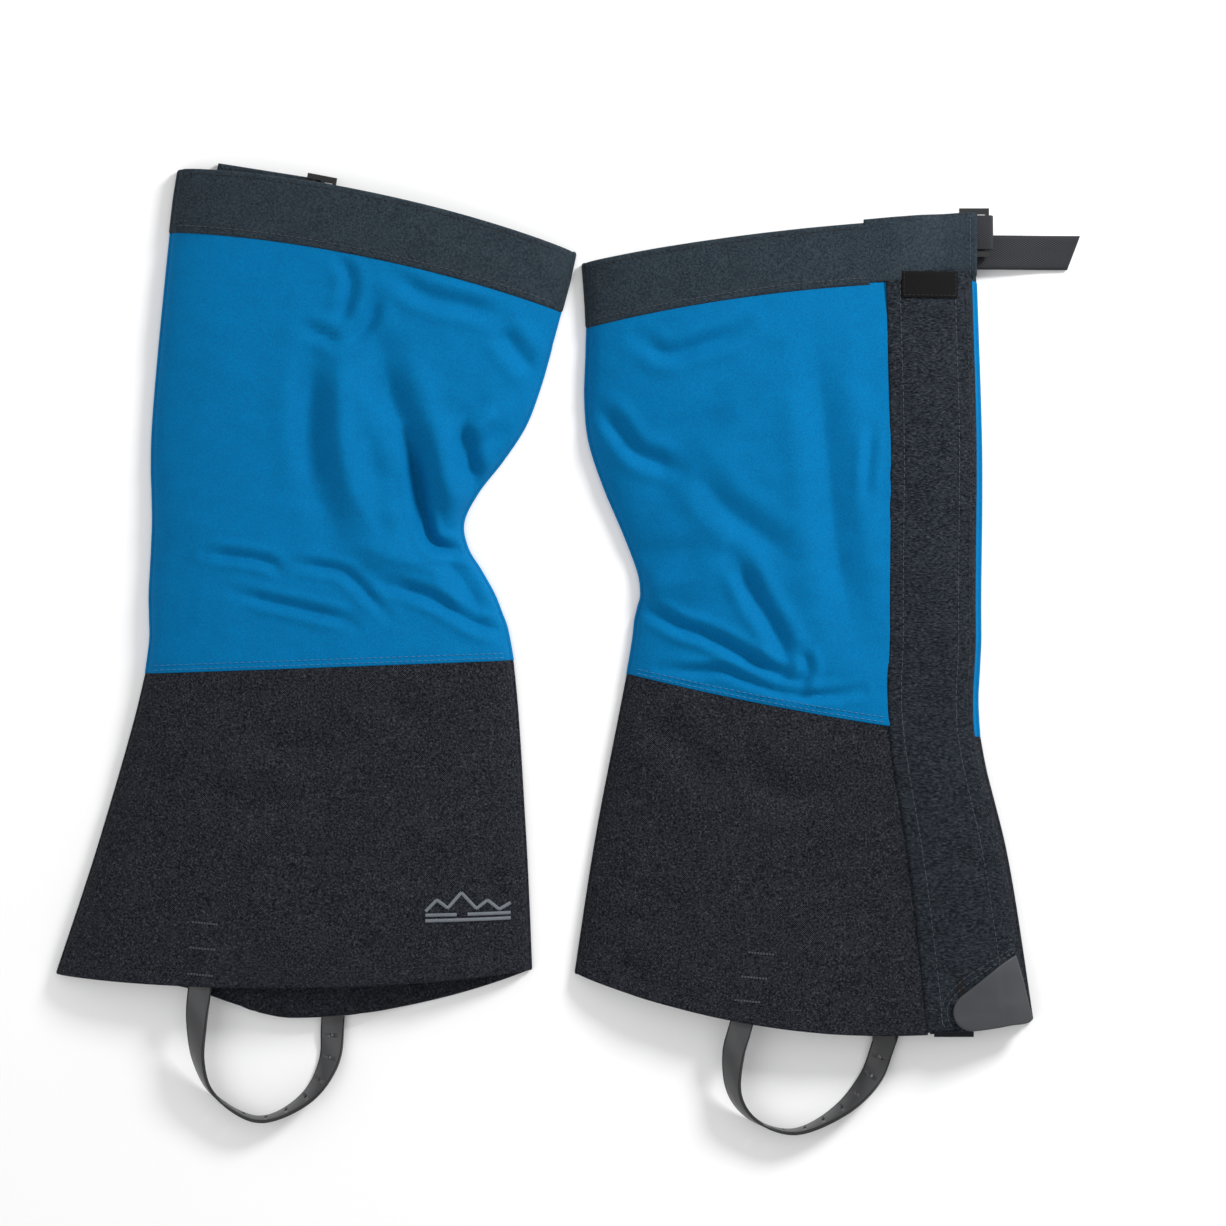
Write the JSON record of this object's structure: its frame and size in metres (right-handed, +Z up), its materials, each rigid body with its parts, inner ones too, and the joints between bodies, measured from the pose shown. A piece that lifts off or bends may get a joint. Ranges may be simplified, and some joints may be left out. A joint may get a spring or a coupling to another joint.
{
  "type": "hiking gaiters",
  "caption": "Pair of knee-high front-opening gaiters with overlapping hook-and-loop front flaps, cuff straps with cam buckles, pull tabs and instep straps.",
  "frame": {"origin": "centre of the bounding box, on the surface that the pair lies on", "axes": "+X across the pair from the left gaiter to the right one, +Y from hem to cuff, +Z up from the surface"},
  "size_m": [0.571, 0.5414, 0.022],
  "materials": {
    "upper_fabric": "woven nylon laminate, matt",
    "lower_fabric": "heavy textured nylon, coated, matt",
    "cuff_fabric": "woven nylon over a thin padding, matt",
    "hook_and_loop": "hook and loop tape",
    "webbing": "woven nylon webbing",
    "reinforcement": "coated fabric",
    "rubber_tab": "smooth rubbery sheet, satin",
    "instep_strap": "coated strap, satin",
    "strap_keeper": "moulded loop, satin",
    "buckle_plastic": "moulded acetal, satin",
    "metal": "stainless steel, brushed"
  },
  "bodies": {
    "left_shell": {"left_lower_outer_panel": "lower_fabric", "left_upper_outer_panel": "upper_fabric", "left_cuff_outer": "cuff_fabric", "left_lower_inner_panel": "lower_fabric", "left_upper_inner_panel": "upper_fabric", "left_cuff_inner": "cuff_fabric", "left_lower_front_facing": "lower_fabric", "left_upper_front_facing": "upper_fabric", "left_cuff_front_facing": "cuff_fabric", "left_flap_root": "lower_fabric", "left_hook_tape": "hook_and_loop", "left_cuff_end": "cuff_fabric", "left_cam_buckle_frame": "buckle_plastic", "left_buckle_anchor_loop": "webbing", "left_instep_strap_sewn_end": "instep_strap", "left_instep_strap_tip": "instep_strap", "left_instep_buckle_frame": "metal", "left_instep_buckle_tab": "reinforcement", "left_instep_strap_keeper": "strap_keeper", "left_instep_rivet": "metal", "left_lace_hook_tab": "reinforcement", "left_lace_hook": "metal"},
    "left_flap": {"left_front_flap": "lower_fabric", "left_loop_tape": "hook_and_loop", "left_tab_patch": "hook_and_loop"},
    "left_tab": {"left_pull_tab": "rubber_tab"},
    "left_cam_lever": {"left_cam_lever": "buckle_plastic"},
    "left_cuff_strap": {"left_cuff_strap": "webbing"},
    "left_instep_strap": {"left_instep_strap": "instep_strap"},
    "left_instep_tongue": {"left_instep_buckle_tongue": "metal"},
    "right_shell": {"right_lower_outer_panel": "lower_fabric", "right_upper_outer_panel": "upper_fabric", "right_cuff_outer": "cuff_fabric", "right_lower_inner_panel": "lower_fabric", "right_upper_inner_panel": "upper_fabric", "right_cuff_inner": "cuff_fabric", "right_lower_front_facing": "lower_fabric", "right_upper_front_facing": "upper_fabric", "right_cuff_front_facing": "cuff_fabric", "right_flap_root": "lower_fabric", "right_hook_tape": "hook_and_loop", "right_cuff_end": "cuff_fabric", "right_cam_buckle_frame": "buckle_plastic", "right_buckle_anchor_loop": "webbing", "right_instep_strap_sewn_end": "instep_strap", "right_instep_strap_tip": "instep_strap", "right_instep_buckle_frame": "metal", "right_instep_buckle_tab": "reinforcement", "right_instep_strap_keeper": "strap_keeper", "right_instep_rivet": "metal", "right_lace_hook_tab": "reinforcement", "right_lace_hook": "metal"},
    "right_flap": {"right_front_flap": "lower_fabric", "right_loop_tape": "hook_and_loop", "right_tab_patch": "hook_and_loop"},
    "right_tab": {"right_pull_tab": "rubber_tab"},
    "right_cam_lever": {"right_cam_lever": "buckle_plastic"},
    "right_cuff_strap": {"right_cuff_strap": "webbing"},
    "right_instep_strap": {"right_instep_strap": "instep_strap"},
    "right_instep_tongue": {"right_instep_buckle_tongue": "metal"}
  },
  "joints": [
    {"name": "right_gaiter_lift", "type": "slide", "parent": "left_shell", "child": "right_shell", "axis": [0, 0, 1], "range_m": [0, 0.15]},
    {"name": "left_flap_hinge", "type": "hinge", "parent": "left_shell", "child": "left_flap", "pos_m": [-0.20688, 0.02356, 0], "axis": [0.1035, 0.9946, 0], "range_deg": [0, 140]},
    {"name": "left_tab_hinge", "type": "hinge", "parent": "left_flap", "child": "left_tab", "pos_m": [-0.17875, -0.17775, 0.0014], "axis": [-0.039, -0.9992, 0], "range_deg": [0, 150]},
    {"name": "left_cam_lever_hinge", "type": "hinge", "parent": "left_shell", "child": "left_cam_lever", "pos_m": [-0.14484, 0.25254, 0.0047], "axis": [-0.1889, -0.982, 0], "range_deg": [0, 14]},
    {"name": "left_cuff_strap_pull", "type": "slide", "parent": "left_shell", "child": "left_cuff_strap", "axis": [0.982, -0.1889, 0], "range_m": [0, 0.035]},
    {"name": "left_instep_strap_swing", "type": "hinge", "parent": "left_shell", "child": "left_instep_strap", "pos_m": [-0.20515, -0.18597, 0.01932], "axis": [-0.9439, 0.2604, 0.2033], "range_deg": [0, 70]},
    {"name": "left_instep_tongue_hinge", "type": "hinge", "parent": "left_shell", "child": "left_instep_tongue", "pos_m": [-0.13052, -0.18317, 0.0012], "axis": [0.9953, -0.0971, 0], "range_deg": [0, 80]},
    {"name": "right_flap_hinge", "type": "hinge", "parent": "right_shell", "child": "right_flap", "pos_m": [0.19434, -0.00411, 0.02028], "axis": [0.056, -0.9984, 0], "range_deg": [0, 140]},
    {"name": "right_tab_hinge", "type": "hinge", "parent": "right_flap", "child": "right_tab", "pos_m": [0.25177, -0.18617, 0.01197], "axis": [-0.145, 0.9894, 0], "range_deg": [0, 150]},
    {"name": "right_cam_lever_hinge", "type": "hinge", "parent": "right_shell", "child": "right_cam_lever", "pos_m": [0.22108, 0.23268, 0.009], "axis": [0, 1, 0], "range_deg": [0, 14]},
    {"name": "right_cuff_strap_pull", "type": "slide", "parent": "right_shell", "child": "right_cuff_strap", "axis": [1, 0, 0], "range_m": [0, 0.035]},
    {"name": "right_instep_strap_swing", "type": "hinge", "parent": "right_shell", "child": "right_instep_strap", "pos_m": [0.09538, -0.20593, 0.01823], "axis": [-0.9716, 0.1579, 0.1764], "range_deg": [0, 70]},
    {"name": "right_instep_tongue_hinge", "type": "hinge", "parent": "right_shell", "child": "right_instep_tongue", "pos_m": [0.1761, -0.19613, 0.0012], "axis": [0.9995, -0.0325, 0], "range_deg": [0, 80]}
  ]
}
